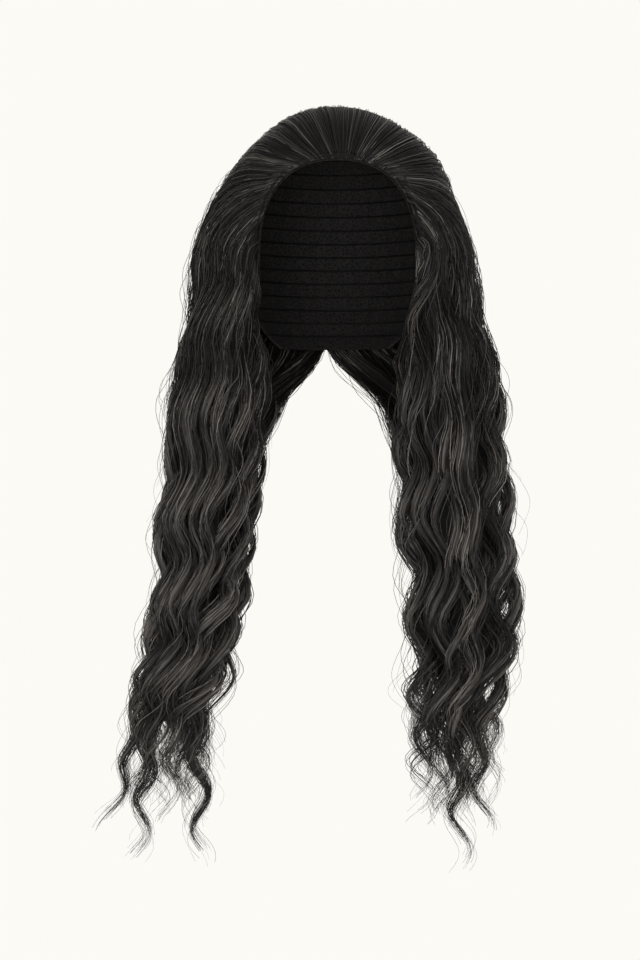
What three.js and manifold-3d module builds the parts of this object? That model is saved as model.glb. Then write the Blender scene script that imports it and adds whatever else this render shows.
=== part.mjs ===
// Long curly wig: hair combed back from the forehead, brought forward over both shoulders.
// Millimetres, +Z up, the face towards -Y. The origin is the top of the head, inside the cap.
import * as THREE from "three";
import { mergeVertices } from "three/addons/utils/BufferGeometryUtils.js";
import Module from "manifold-3d";

const wasm = await Module();
wasm.setup();

// Driving dimensions of the head that the cap fits, about 545 mm round
const HEAD_HALF_WIDTH = 77;
const HEAD_HALF_DEPTH = 96;
const HEAD_HEIGHT = 106; // from the widest level up to the crown
const NECK_RADIUS = 50;
const NECK_TOP = -120;
const NECK_BOTTOM = -420;

// The cap and the welt along its front edge
const CAP_WALL = 2;
const CAP_EDGE = { temple: -128, ear: -112, nape: -178 }; // heights of the lower edge
const BAND_WIDTH = 3.5;
const BAND_THICKNESS = 1.6;
const GAP = 0.6; // clearance between neighbouring pieces

// The arch of the hairline round the face, seen from the front
const HAIRLINE = { middle: 2, top: -36, spring: -110, halfWidth: 61, squareness: 2.4 };
const FACE_FRONT = -200;
const FACE_BACK = -14;
const FACE_BOTTOM = -132; // below this the hair hangs free in front of the cheeks

// Loft of the combed-back hair above the cap, by the angle down from the crown
const CROWN_LOFT = [
  { angle: 0, loft: 11 },
  { angle: 30, loft: 15 },
  { angle: 50, loft: 20 },
  { angle: 70, loft: 24 },
  { angle: 85, loft: 27 },
  { angle: 105, loft: 33 },
  { angle: 180, loft: 33 },
];
const HAIRLINE_LOFT = 3.5; // the hair lies this close to the cap at the hairline
const COMB = { lift: -40, ridges: 17, height: 2.6 }; // combed ridges fan out from the forehead
const NAPE_HEM = { middle: -186, atBack: 95, drop: 45, dropWidth: 80, slope: 0.7 }; // parted below the nape

// Each fall of hair: distances of its edges from the middle plane, and its front and back
const FALL = [
  { z: -85, leftInner: 48, leftOuter: 93, rightInner: 48, rightOuter: 94, front: -34, back: 76 },
  { z: -125, leftInner: 62, leftOuter: 114, rightInner: 64, rightOuter: 114, front: -52, back: 100 },
  { z: -157, leftInner: 60, leftOuter: 117, rightInner: 50, rightOuter: 117, front: -60, back: 102 },
  { z: -189, leftInner: 56, leftOuter: 124, rightInner: 49, rightOuter: 127, front: -62, back: 94 },
  { z: -221, leftInner: 57, leftOuter: 133, rightInner: 52, rightOuter: 131, front: -63, back: 78 },
  { z: -253, leftInner: 59, leftOuter: 131, rightInner: 48, rightOuter: 129, front: -66, back: 60 },
  { z: -285, leftInner: 62, leftOuter: 134, rightInner: 51, rightOuter: 137, front: -72, back: 38 },
  { z: -316, leftInner: 65, leftOuter: 140, rightInner: 50, rightOuter: 135, front: -83, back: 12 },
  { z: -347, leftInner: 71, leftOuter: 138, rightInner: 53, rightOuter: 141, front: -95, back: -12 },
  { z: -378, leftInner: 73, leftOuter: 140, rightInner: 57, rightOuter: 139, front: -106, back: -32 },
  { z: -408, leftInner: 82, leftOuter: 146, rightInner: 56, rightOuter: 141, front: -115, back: -48 },
  { z: -438, leftInner: 85, leftOuter: 152, rightInner: 57, rightOuter: 131, front: -121, back: -60 },
  { z: -469, leftInner: 96, leftOuter: 160, rightInner: 62, rightOuter: 120, front: -123, back: -70 },
  { z: -498, leftInner: 114, leftOuter: 160, rightInner: 76, rightOuter: 117, front: -119, back: -80 },
  { z: -520, leftInner: 130, leftOuter: 152, rightInner: 90, rightOuter: 110, front: -112, back: -90 },
];
const FALL_LOCKS = 7; // locks side by side round each fall
const PARTING_SHARE = 0.6; // the ear-to-ear parting runs this far back in a fall
const LOCK_POINTS = 4; // points across each lock
const LOCK_RELIEF = 0.2; // depth of the crease between locks, as a share of the half width
const LOCKS_PART = { from: -85, full: -210 }; // heights over which the creases open
const FALL_STEPS = 38;
const WAVE = { length: 68, sway: 6.5, bulge: 2.2, starts: -110, full: -260 };

// Free curls at the ends of the falls: where each leaves its fall and where its tip hangs
const CURLS = [
  { in: "front_left", top: [-150, -108, -455], tip: [-176, -108, -556], radius: 10, turns: 1.6, phase: 0.4 },
  { in: "front_left", top: [-138, -110, -455], tip: [-151, -112, -578], radius: 10, turns: 2.1, phase: 2.2 },
  { in: "front_left", top: [-104, -108, -432], tip: [-102, -112, -582], radius: 10, turns: 2.4, phase: 4.0 },
  { in: "front_left", top: [-120, -108, -450], tip: [-127, -112, -552], radius: 9, turns: 1.8, phase: 5.2 },
  { in: "back_left", top: [-132, -78, -432], tip: [-162, -78, -540], radius: 10, turns: 1.5, phase: 1.2 },
  { in: "back_left", top: [-116, -78, -432], tip: [-116, -78, -548], radius: 9, turns: 1.7, phase: 3.1 },
  { in: "front_right", top: [74, -106, -415], tip: [64, -112, -532], radius: 11, turns: 2.0, phase: 3.4 },
  { in: "front_right", top: [88, -110, -450], tip: [97, -112, -582], radius: 11, turns: 2.2, phase: 0.6 },
  { in: "front_right", top: [105, -110, -450], tip: [116, -115, -562], radius: 10, turns: 1.9, phase: 2.6 },
  { in: "front_right", top: [80, -108, -445], tip: [80, -112, -550], radius: 9, turns: 1.8, phase: 5.0 },
  { in: "back_right", top: [110, -68, -420], tip: [132, -76, -516], radius: 10, turns: 1.7, phase: 1.5 },
  { in: "back_right", top: [94, -76, -436], tip: [98, -78, -548], radius: 9, turns: 1.7, phase: 4.4 },
];
const CURL_SIDES = 6;
const CURL_STEPS = 12;
const CURL_SWING = 9; // sideways reach of a curl's wave near its tip
const CURL_TIP_RADIUS = 1.4;
const CURL_ROOT_SHARE = 0.3; // a curl starts this slim inside its fall

const HAIR_COLOUR = 0x2b2827;
const CAP_COLOUR = 0x161515;
const HEAD_CENTRE = new THREE.Vector3(0, 0, -HEAD_HEIGHT);
const FAR = 700; // beyond the wig on every side
const SLIVER = 0.12; // edges shorter than this are closed up

const { clamp, lerp, smoothstep } = THREE.MathUtils;

// A closed three.js geometry as a solid that can be joined and cut
function solid(geometry) {
  const bare = geometry.clone();
  bare.deleteAttribute("normal");
  bare.deleteAttribute("uv");
  const merged = mergeVertices(bare, 1e-4);
  return new wasm.Manifold(
    new wasm.Mesh({
      numProp: 3,
      vertProperties: merged.getAttribute("position").array,
      triVerts: new Uint32Array(merged.index.array),
    }),
  );
}

// A finished solid as a named mesh of the scene, without the slivers that cutting leaves
function piece(name, made, material) {
  const { vertProperties, triVerts } = made.asOriginal().simplify(SLIVER).getMesh();
  const geometry = new THREE.BufferGeometry();
  geometry.setAttribute("position", new THREE.BufferAttribute(vertProperties, 3));
  geometry.setIndex(new THREE.BufferAttribute(triVerts, 1));
  geometry.computeVertexNormals();
  const mesh = new THREE.Mesh(geometry, material);
  mesh.name = name;
  return mesh;
}

// The value of one column at a height or angle, eased between the rows of a table
function column(table, key, by, at) {
  const rising = table[0][by] < table[1][by] ? 1 : -1;
  const next = table.findIndex((row) => rising * (row[by] - at) >= 0);
  if (next === 0) return table[0][key];
  if (next < 0) return table[table.length - 1][key];
  const from = table[next - 1];
  const to = table[next];
  const share = (at - from[by]) / (to[by] - from[by]);
  return lerp(from[key], to[key], share);
}

// Moves each point of a geometry to where a function puts it
function reshape(geometry, place) {
  const position = geometry.getAttribute("position");
  const point = new THREE.Vector3();
  for (let i = 0; i < position.count; i++) {
    place(point.fromBufferAttribute(position, i));
    position.setXYZ(i, point.x, point.y, point.z);
  }
  return geometry;
}

// The head's ovoid, grown outwards all over
function ovoid(grow) {
  const ball = new THREE.SphereGeometry(1, 32, 16).rotateX(Math.PI / 2);
  ball.scale(HEAD_HALF_WIDTH + grow, HEAD_HALF_DEPTH + grow, HEAD_HEIGHT + grow);
  return solid(ball.translate(0, 0, -HEAD_HEIGHT));
}

// A flat outline in Y and Z, run from one X to another
function sideways(outline, fromX, toX) {
  const shape = new THREE.Shape(outline.map(([y, z]) => new THREE.Vector2(y, z)));
  const run = new THREE.ExtrudeGeometry(shape, { depth: toX - fromX, bevelEnabled: false });
  // the drawing's X, Y and depth become the wig's Y, Z and X
  reshape(run, (p) => p.set(p.z + fromX, p.x, p.y));
  return solid(run);
}

// How far out a point lies from the hairline's arch: 1 on the arch, less inside it
function archLevel(x, z) {
  const { middle, top, spring, halfWidth, squareness } = HAIRLINE;
  const across = Math.abs(x - middle) / halfWidth;
  const up = Math.max(0, z - spring) / (top - spring);
  return (across ** squareness + up ** squareness) ** (1 / squareness);
}

// The open space in front of the head: the face, framed by the hairline
function faceSpace(grow) {
  const half = HAIRLINE.halfWidth + grow;
  const rise = HAIRLINE.top + grow - HAIRLINE.spring;
  const outline = [new THREE.Vector2(-half, FACE_BOTTOM), new THREE.Vector2(half, FACE_BOTTOM)];
  const steps = 28;
  for (let i = 0; i <= steps; i++) {
    const turn = (Math.PI * i) / steps;
    const power = 2 / HAIRLINE.squareness;
    const x = half * Math.sign(Math.cos(turn)) * Math.abs(Math.cos(turn)) ** power;
    outline.push(new THREE.Vector2(x, HAIRLINE.spring + rise * Math.sin(turn) ** power));
  }
  const arch = new THREE.ExtrudeGeometry(new THREE.Shape(outline), {
    depth: FACE_BACK - FACE_FRONT,
    bevelEnabled: false,
  });
  return solid(arch.rotateX(Math.PI / 2).translate(HAIRLINE.middle, FACE_BACK, 0));
}

// Everything that lies lower than the cap's lower edge
function belowCap() {
  const { temple, ear, nape } = CAP_EDGE;
  const line = [[-FAR, temple], [-52, temple], [-30, ear], [12, ear], [46, nape], [FAR, nape]];
  return sideways([[-FAR, -FAR], [FAR, -FAR], ...line.reverse()], -FAR, FAR);
}

function makeCap() {
  return ovoid(CAP_WALL).subtract(ovoid(0)).subtract(faceSpace(0)).subtract(belowCap());
}

// The welt that the front hair is knotted on, laid along the cap's edge round the face
function makeFrontBand() {
  const seat = CAP_WALL + GAP;
  const strip = ovoid(seat + BAND_THICKNESS).subtract(ovoid(seat));
  const frame = faceSpace(BAND_WIDTH).subtract(faceSpace(0));
  return strip.intersect(frame).subtract(belowCap());
}

// Loft of the hair at a point of the cap: low at the hairline, full behind it
function crownLoft(point, angle) {
  const full = column(CROWN_LOFT, "loft", "angle", angle);
  const clearOfFace = smoothstep(archLevel(point.x, point.z), 1, 1.3);
  const behindEars = smoothstep(point.y, -25, 15);
  return lerp(HAIRLINE_LOFT, full, Math.max(clearOfFace, behindEars));
}

// The mass of combed hair round the cap, before the head's hollow is cut out of it
function crownMass() {
  const sides = COMB.ridges * 3;
  const ball = new THREE.SphereGeometry(1, sides, 20);
  // the ball's pole turns to the forehead, where the combed ridges start
  const forehead = new THREE.Vector3(HAIRLINE.middle / HEAD_HALF_WIDTH, -1, COMB.lift / HEAD_HEIGHT + 1);
  const pole = new THREE.Vector3(0, 1, 0);
  const turn = new THREE.Quaternion().setFromUnitVectors(pole, forehead.normalize());
  const axes = new THREE.Vector3(HEAD_HALF_WIDTH, HEAD_HALF_DEPTH, HEAD_HEIGHT);
  reshape(ball, (p) => {
    const ridge = Math.cos(COMB.ridges * Math.atan2(p.z, p.x)) * Math.hypot(p.x, p.z);
    p.applyQuaternion(turn);
    const angle = (Math.acos(clamp(p.z, -1, 1)) * 180) / Math.PI;
    const normal = p.clone().divide(axes).normalize();
    p.multiply(axes).add(HEAD_CENTRE);
    const loft = CAP_WALL + crownLoft(p, angle);
    const comb = ridge * COMB.height * smoothstep(loft, CAP_WALL + HAIRLINE_LOFT, 18);
    p.addScaledVector(normal, loft + comb);
  });
  return solid(ball).subtract(belowHem());
}

// The space below the crown's hem: an arch at the nape that rises towards the face
function belowHem() {
  const { middle, atBack, drop, dropWidth, slope } = NAPE_HEM;
  const outline = [new THREE.Vector2(-FAR, -2 * FAR), new THREE.Vector2(FAR, -2 * FAR)];
  const reach = 2 * dropWidth;
  const steps = 16;
  for (let i = 0; i <= steps; i++) {
    const x = lerp(reach, -reach, i / steps);
    outline.push(new THREE.Vector2(x, middle - drop * (x / dropWidth) ** 2));
  }
  const arch = new THREE.ExtrudeGeometry(new THREE.Shape(outline), { depth: FAR, bevelEnabled: false });
  arch.rotateX(Math.PI / 2).translate(0, FAR / 2, 0);
  return solid(reshape(arch, (p) => p.setZ(p.z - slope * (p.y - atBack))));
}

// The middle of a fall and its half sizes at a height
function fallAt(side, z) {
  const name = side < 0 ? "left" : "right";
  const inner = column(FALL, name + "Inner", "z", z);
  const outer = column(FALL, name + "Outer", "z", z);
  const front = column(FALL, "front", "z", z);
  const back = column(FALL, "back", "z", z);
  return {
    x: (side * (inner + outer)) / 2,
    y: (front + back) / 2,
    halfWidth: (outer - inner) / 2,
    halfDepth: (back - front) / 2,
  };
}

// One fall: locks side by side round a core, each swaying with its own phase
function fallMass(side) {
  const sides = FALL_LOCKS * LOCK_POINTS;
  const top = FALL[0].z;
  const bottom = FALL[FALL.length - 1].z;
  const post = new THREE.CylinderGeometry(1, 1, 1, sides, FALL_STEPS).rotateX(Math.PI / 2);
  reshape(post, (p) => {
    const around = Math.atan2(p.y, p.x);
    const radius = Math.hypot(p.x, p.y);
    const z = lerp(top, bottom, 0.5 - p.z);
    const { x, y, halfWidth, halfDepth } = fallAt(side, z);
    const lock = (around / (2 * Math.PI)) * FALL_LOCKS;
    const relief = LOCK_RELIEF * smoothstep(-z, -LOCKS_PART.from, -LOCKS_PART.full);
    const crease = relief * Math.cos(lock * 2 * Math.PI) * radius;
    const strength = smoothstep(-z, -WAVE.starts, -WAVE.full);
    const phase = (z / WAVE.length) * 2 * Math.PI + 0.9 * Math.sin(1.7 * Math.round(lock) + side);
    const sway = WAVE.sway * strength * Math.sin(phase);
    const bulge = WAVE.bulge * strength * Math.cos(phase) * radius;
    const reachX = halfWidth * (radius * (1 - relief) + crease) + bulge;
    const reachY = halfDepth * (radius * (1 - relief) + crease) + bulge;
    p.set(x + reachX * Math.cos(around) + sway, y + reachY * Math.sin(around), z);
  });
  return solid(post);
}

// One free curl: a tapering lock that swings wider towards its tip
function curl({ top, tip, radius, turns, phase }) {
  const rod = new THREE.CylinderGeometry(1, 1, 1, CURL_SIDES, CURL_STEPS).rotateX(Math.PI / 2);
  const start = new THREE.Vector3(...top);
  const end = new THREE.Vector3(...tip);
  reshape(rod, (p) => {
    const along = 0.5 - p.z;
    const root = lerp(CURL_ROOT_SHARE, 1, smoothstep(along, 0, 0.25));
    const thick = root * lerp(radius, CURL_TIP_RADIUS, smoothstep(along, 0.2, 1));
    const swing = CURL_SWING * smoothstep(along, 0, 0.6);
    const turn = phase + 2 * Math.PI * turns * along;
    const across = p.clone().multiplyScalar(thick);
    p.lerpVectors(start, end, along);
    p.x += across.x + swing * Math.sin(turn);
    p.y += across.y * 0.7 + swing * 0.5 * Math.cos(turn);
  });
  return solid(rod);
}

// The head, cap, band and neck as one space that the hair keeps clear of
function wearerSpace() {
  const neck = new THREE.CylinderGeometry(NECK_RADIUS, NECK_RADIUS, NECK_TOP - NECK_BOTTOM, 28);
  neck.rotateX(Math.PI / 2).translate(0, 0, (NECK_TOP + NECK_BOTTOM) / 2);
  return ovoid(CAP_WALL + GAP)
    .add(solid(neck))
    .add(faceSpace(BAND_WIDTH + GAP));
}

// One quarter of the hair's room: left or right of the middle, before or behind the ears
function sectionSpace(side, isFront) {
  const clear = GAP / 2;
  const parting = FALL.map(({ z, front, back }) => [lerp(front, back, PARTING_SHARE), z]);
  const line = [[parting[0][0], FAR], ...parting, [parting[parting.length - 1][0], -FAR]];
  const facing = isFront ? -1 : 1;
  const shifted = line.map(([y, z]) => [y + facing * clear, z]);
  const outline = [...shifted, [facing * FAR, -FAR], [facing * FAR, FAR]];
  const { middle } = HAIRLINE;
  return side < 0 ? sideways(outline, -FAR, middle - clear) : sideways(outline, middle + clear, FAR);
}

const hairFibre = new THREE.MeshStandardMaterial({ color: HAIR_COLOUR, roughness: 0.5, metalness: 0 });
const capNet = new THREE.MeshStandardMaterial({ color: CAP_COLOUR, roughness: 0.9, metalness: 0 });

const hairMass = crownMass().add(fallMass(-1)).add(fallMass(1)).subtract(wearerSpace());

// One of the four sections that the hair is parted into, with its free curls
function makeSection(name, side, isFront) {
  const body = hairMass.intersect(sectionSpace(side, isFront));
  const curls = CURLS.filter((row) => row.in === name);
  return curls.reduce((made, row) => made.add(curl(row)), body);
}

const wig = new THREE.Group();
wig.add(piece("cap", makeCap(), capNet));
wig.add(piece("front_band", makeFrontBand(), capNet));
wig.add(piece("front_left_hair", makeSection("front_left", -1, true), hairFibre));
wig.add(piece("front_right_hair", makeSection("front_right", 1, true), hairFibre));
wig.add(piece("back_left_hair", makeSection("back_left", -1, false), hairFibre));
wig.add(piece("back_right_hair", makeSection("back_right", 1, false), hairFibre));

export default wig;
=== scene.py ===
# %% [markdown]
# # A long curly wig
# A wig is a net cap with hair sewn and knotted to it. The solids in the frame give its true size and form,
# but hair is read by the eye as thousands of strands. So this lesson keeps the form of the solids and grows
# the hair again over it: a dark core, locks on the core, strands on the locks, and a few loose hairs.

# %% Load the frame
import math

import bpy
import numpy as np
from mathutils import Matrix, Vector


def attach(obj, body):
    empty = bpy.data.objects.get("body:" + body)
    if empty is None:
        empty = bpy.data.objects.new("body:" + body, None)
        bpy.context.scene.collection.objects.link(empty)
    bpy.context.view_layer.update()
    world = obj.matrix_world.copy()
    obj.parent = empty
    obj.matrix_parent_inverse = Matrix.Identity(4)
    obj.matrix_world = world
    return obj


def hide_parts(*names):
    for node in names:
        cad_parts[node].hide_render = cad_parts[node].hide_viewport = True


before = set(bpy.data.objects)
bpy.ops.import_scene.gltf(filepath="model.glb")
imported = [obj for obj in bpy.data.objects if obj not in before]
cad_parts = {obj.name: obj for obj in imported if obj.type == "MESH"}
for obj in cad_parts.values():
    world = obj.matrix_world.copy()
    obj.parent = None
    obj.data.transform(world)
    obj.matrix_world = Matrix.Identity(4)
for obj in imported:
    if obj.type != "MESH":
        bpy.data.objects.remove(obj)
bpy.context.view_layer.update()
print("Solids in the frame:", ", ".join(sorted(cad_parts)))

# %% [markdown]
# ## Sizes
# The hair has to lie where the solids lie, so the sizes that shaped them are repeated here, in millimetres.
# The head is an ovoid, the hairline an arch round the face, and each fall of hair a column of ellipses from
# the ears down.

# %% The head, the cap and the hairline
MM = 0.001
HEAD = np.array([77.0, 96.0, 106.0])  # half width, half depth, and height above the widest level
HEAD_CENTRE = np.array([0.0, 0.0, -HEAD[2]])
CAP_WALL = 2.0
BAND_WIDTH = 3.5
HAIRLINE = {"middle": 2.0, "top": -36.0, "spring": -110.0, "half_width": 61.0, "squareness": 2.4}
HAIRLINE_LOFT = 3.5  # the hair lies this close to the cap at the hairline
LOFT_ANGLES = [0, 30, 50, 70, 85, 105, 180]  # degrees down from the crown
LOFT_HEIGHTS = [13, 17, 21, 24, 27, 33, 33]
NECK_RADIUS = 50.0
NECK_TOP = -120.0

# %% The two falls, with the distances of their edges from the middle plane
FALL_COLUMNS = ("z", "left_inner", "left_outer", "right_inner", "right_outer", "front", "back")
FALL_ROWS = [
    (-125, 62, 114, 64, 114, -52, 100),
    (-157, 60, 117, 50, 117, -60, 102),
    (-189, 56, 124, 49, 127, -62, 94),
    (-221, 57, 133, 52, 131, -63, 78),
    (-253, 59, 131, 48, 129, -66, 60),
    (-285, 62, 134, 51, 137, -72, 38),
    (-316, 65, 140, 50, 135, -83, 12),
    (-347, 71, 138, 53, 141, -95, -12),
    (-378, 73, 140, 57, 139, -106, -32),
    (-408, 82, 146, 56, 141, -115, -48),
    (-438, 85, 152, 57, 131, -121, -60),
    (-469, 96, 160, 62, 120, -123, -70),
]
FALL = dict(zip(FALL_COLUMNS, np.array(FALL_ROWS, float).T))
SIDES = {"left": -1, "right": 1}
print("Falls run from", FALL["z"][0], "to", FALL["z"][-1], "mm")

# %% The free curls at the ends of the falls
CURL_COLUMNS = ("side", "top", "tip", "radius", "turns", "phase")
CURL_ROWS = [
    (-1, (-150, -108, -455), (-176, -108, -556), 10, 1.6, 0.4),
    (-1, (-138, -110, -455), (-151, -112, -578), 10, 2.1, 2.2),
    (-1, (-104, -108, -432), (-102, -112, -582), 10, 2.4, 4.0),
    (-1, (-120, -108, -450), (-127, -112, -552), 9, 1.8, 5.2),
    (-1, (-132, -78, -432), (-162, -78, -540), 10, 1.5, 1.2),
    (-1, (-116, -78, -432), (-116, -78, -548), 9, 1.7, 3.1),
    (1, (74, -106, -415), (64, -112, -532), 11, 2.0, 3.4),
    (1, (88, -110, -450), (97, -112, -582), 11, 2.2, 0.6),
    (1, (105, -110, -450), (116, -115, -562), 10, 1.9, 2.6),
    (1, (80, -108, -445), (80, -112, -550), 9, 1.8, 5.0),
    (1, (110, -68, -420), (132, -76, -516), 10, 1.7, 1.5),
    (1, (94, -76, -436), (98, -78, -548), 9, 1.7, 4.4),
]
CURLS = {key: np.array(values, float) for key, values in zip(CURL_COLUMNS, zip(*CURL_ROWS))}
CURL_SWING, CURL_SWING_RUN = 7.0, 0.6  # its wave reaches so far sideways, from so far along it
CURL_DEEP = 0.5  # and this share of that forward and back
CURL_RATE = 2.2 * math.pi  # the angle of each turn
CURL_SPREAD = 0.6  # strands at its sides run this much early or late
CURL_TOP, CURL_TIP, CURL_TAPER_RUN = 1.3, 0.2, 0.8  # its thickness at both ends, against its radius
CURL_FLAT = 0.7  # its depth, against its width
print(len(CURL_ROWS), "free curls")

# %% [markdown]
# ## The crown as a surface
# Every strand on the head follows one surface: the head's ovoid, raised by the cap and by the loft of the
# hair. A point there is named by a direction from the middle of the head and by a layer, 0 on the cap and 1
# on the outside. That way a strand can climb from its root to its layer while it keeps its course.


# %% Small helpers for shaping with arrays
NO_LENGTH = 1e-9  # a vector this short has no direction


def ease(value, low, high):
    """0 up to low, 1 from high on, and a soft rise between them."""
    share = np.clip((value - low) / (high - low), 0, 1)
    return share * share * (3 - 2 * share)


def blend(start, end, share):
    return start + (end - start) * share


def bell(value, middle, reach):
    """1 at the middle, fading to 0 on both sides of it."""
    return np.exp(-(((value - middle) / reach) ** 2))


def unit(vectors):
    return vectors / np.maximum(np.linalg.norm(vectors, axis=-1, keepdims=True), NO_LENGTH)


def run_along(paths):
    """Distance from the start of each path to each of its points."""
    steps = np.diff(paths, axis=1, prepend=paths[:, :1])
    return np.cumsum(np.linalg.norm(steps, axis=-1), axis=1)


def arch_level(points):
    """1 on the hairline's arch as seen from the front, less inside it and more outside."""
    across = np.abs(points[..., 0] - HAIRLINE["middle"]) / HAIRLINE["half_width"]
    rise = HAIRLINE["top"] - HAIRLINE["spring"]
    up = np.maximum(0, points[..., 2] - HAIRLINE["spring"]) / rise
    power = HAIRLINE["squareness"]
    return (across**power + up**power) ** (1 / power)


# %% The surface of the combed hair
WELT_COVER = 3.3  # strands at the hairline pass over the welt, this far above the cap
OVER_WELT = (-0.5, 1.2)  # they rise between these distances outside the hairline
EDGE_TUCK = 1.2  # from roots on the cap's front edge, this far below its outside
LOFT_LEVELS, LOFT_DEPTHS = (1, 1.3), (-25, 15)  # where the hair rises to its full loft
FAR_BEHIND = 99.0  # what the back of the head counts as outside the hairline
CROWN_LEAN = 4.0  # the top hair is brushed a little to the right
LEAN_LIFTS, LEAN_LEVEL, LEAN_REACH = (6, 18), -35.0, 30.0
FLAT_LAYER, FLAT_SHARE = 0.84, 0.3  # on top the outer strands are combed down to nearly this layer
FLAT_ANGLES = (25, 75)  # and less so between these angles from the crown
LEAST_TUCK = 0.75  # where the head narrows below, the hair makes up for it, to this share


def crown_point(direction, layer, cover):
    """A point of the combed hair: layer 0 is on the cap, layer 1 on the outside, which hangs straight."""
    on_head = direction * HEAD + HEAD_CENTRE
    angle = np.degrees(np.arccos(np.clip(direction[..., 2], -1, 1)))
    full = np.interp(angle, LOFT_ANGLES, LOFT_HEIGHTS)
    above = np.maximum(0, layer - FLAT_LAYER)
    layer = layer - above * (1 - FLAT_SHARE) * (1 - ease(angle, *FLAT_ANGLES))
    level = arch_level(on_head)
    behind = np.maximum(ease(level, *LOFT_LEVELS), ease(on_head[..., 1], *LOFT_DEPTHS))
    outside = np.where(on_head[..., 1] < 0, (level - 1) * HAIRLINE["half_width"], FAR_BEHIND)
    over = ease(outside, *OVER_WELT)
    lift = np.maximum(layer * blend(HAIRLINE_LOFT, full, behind), cover)
    lift = lift * over - EDGE_TUCK * (1 - over)
    lean = CROWN_LEAN * ease(lift, *LEAN_LIFTS) * bell(on_head[..., 2], LEAN_LEVEL, LEAN_REACH)
    points = on_head + unit(direction / HEAD) * (CAP_WALL + lift)[..., None]
    points[..., 0] += lean
    tucked = np.where(direction[..., 2] < 0, np.linalg.norm(direction[..., :2], axis=-1), 1.0)
    points[..., :2] *= blend(1, 1 / np.maximum(tucked, LEAST_TUCK), np.clip(layer, 0, 1))[..., None]
    return points


# %% [markdown]
# ## The way the hair is combed
# The hair starts along the arch of the hairline and is combed straight back. On the head it runs away from
# the forehead, and the further down it gets the more its weight turns it downwards. A groomer would draw
# guide hairs by hand. Here a guide walks over the head in small steps, and at each step it mixes those two
# headings.

# %% Walk the guides over the head
GUIDES = 61  # on each side, from the temple to the middle of the forehead
GUIDE_POINTS = 24
FOREHEAD = np.array([6.0, -92.0, -56.0])  # the point that the combed hair runs away from
TEMPLE_SWEEP = 22.0  # for hair of the temples that point lies higher, so it sweeps down sooner
SWEEP_SHARES = (0.3, 0.75)  # this fades out between these places on the hairline
WALK_STEP, WALK_STEPS = 3.0, 150
WEIGHT_FROM, WEIGHT_FULL = 40.0, 170.0  # this far below the crown the hair's weight turns it
TURN_RUN = 75.0  # this high above the fall it starts to turn until it hangs straight down
JOIN_FRONT, JOIN_BACK = -108.0, -146.0  # heights at which the combed hair turns into the fall
JOIN_SHARES, JOIN_DROP = (0.45, 1), 12.0  # from one to the other, and so far below its root at least
ROOTS_OUTSIDE = -0.5  # the front roots lie just inside the arch, so before the cap's edge


def hairline_height(share, outside):
    turn = np.maximum(0, share) * math.pi / 2
    rise = HAIRLINE["top"] + outside - HAIRLINE["spring"]
    return HAIRLINE["spring"] + rise * (np.sin(turn) ** (2 / HAIRLINE["squareness"]) + np.minimum(0, share))


def hairline_direction(side, share, outside):
    """A place on the hairline: share 0 at the temple, 1 above the forehead, under 0 below the arch."""
    turn = np.maximum(0, share) * math.pi / 2
    half = HAIRLINE["half_width"] + outside
    x = HAIRLINE["middle"] + side * half * np.abs(np.cos(turn)) ** (2 / HAIRLINE["squareness"])
    z = hairline_height(share, outside)
    across = x / HEAD[0]
    up = (z - HEAD_CENTRE[2]) / HEAD[2]
    return np.stack([across, -np.sqrt(1 - across**2 - up**2), up], axis=-1)


def along_surface(vectors, normal):
    return unit(vectors - np.sum(vectors * normal, axis=-1, keepdims=True) * normal)


def join_height(share):
    """Where the combed hair turns into the fall: always a little below its root."""
    height = blend(JOIN_FRONT, JOIN_BACK, ease(share, *JOIN_SHARES))
    return np.minimum(height, hairline_height(share, ROOTS_OUTSIDE) - JOIN_DROP)


def walk_guides(side):
    share = np.linspace(0, 1, GUIDES)
    direction = hairline_direction(side, share, ROOTS_OUTSIDE)
    join = join_height(share)[:, None]
    turn_from = np.minimum(join + TURN_RUN, hairline_height(share, ROOTS_OUTSIDE)[:, None])
    forehead = FOREHEAD + np.outer(1 - ease(share, *SWEEP_SHARES), [0, 0, TEMPLE_SWEEP])
    walked = [direction]
    for _ in range(WALK_STEPS):
        place = direction * HEAD + HEAD_CENTRE
        normal = unit(direction / HEAD)
        weight = ease(-place[:, 2:], WEIGHT_FROM, WEIGHT_FULL)
        weight = np.maximum(weight, ease(-place[:, 2:], -turn_from, -join))
        away = along_surface(place - forehead, normal)
        down = along_surface(np.array([0.0, 0.0, -1.0]), normal)
        heading = along_surface(blend(away, down, weight), normal)
        direction = unit((place + WALK_STEP * heading - HEAD_CENTRE) / HEAD)
        walked.append(direction)
    walked = np.stack(walked, axis=1)
    heights = crown_point(walked, np.ones(walked.shape[:2]), WELT_COVER)[..., 2]
    stations = np.arange(WALK_STEPS + 1)
    guides = []
    for guide, height, end_height in zip(walked, heights, join[:, 0]):
        below = np.nonzero((height < end_height) & (stations > 1))[0]
        end = below[0] if len(below) else WALK_STEPS
        picked = np.linspace(0, end, GUIDE_POINTS)
        guides.append(np.stack([np.interp(picked, stations, guide[:, k]) for k in range(3)], axis=-1))
    return unit(np.array(guides))


GUIDE = {side: walk_guides(side) for side in SIDES.values()}
print("Guides on each side:", GUIDE[1].shape[0], "with", GUIDE[1].shape[1], "points")


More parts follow.
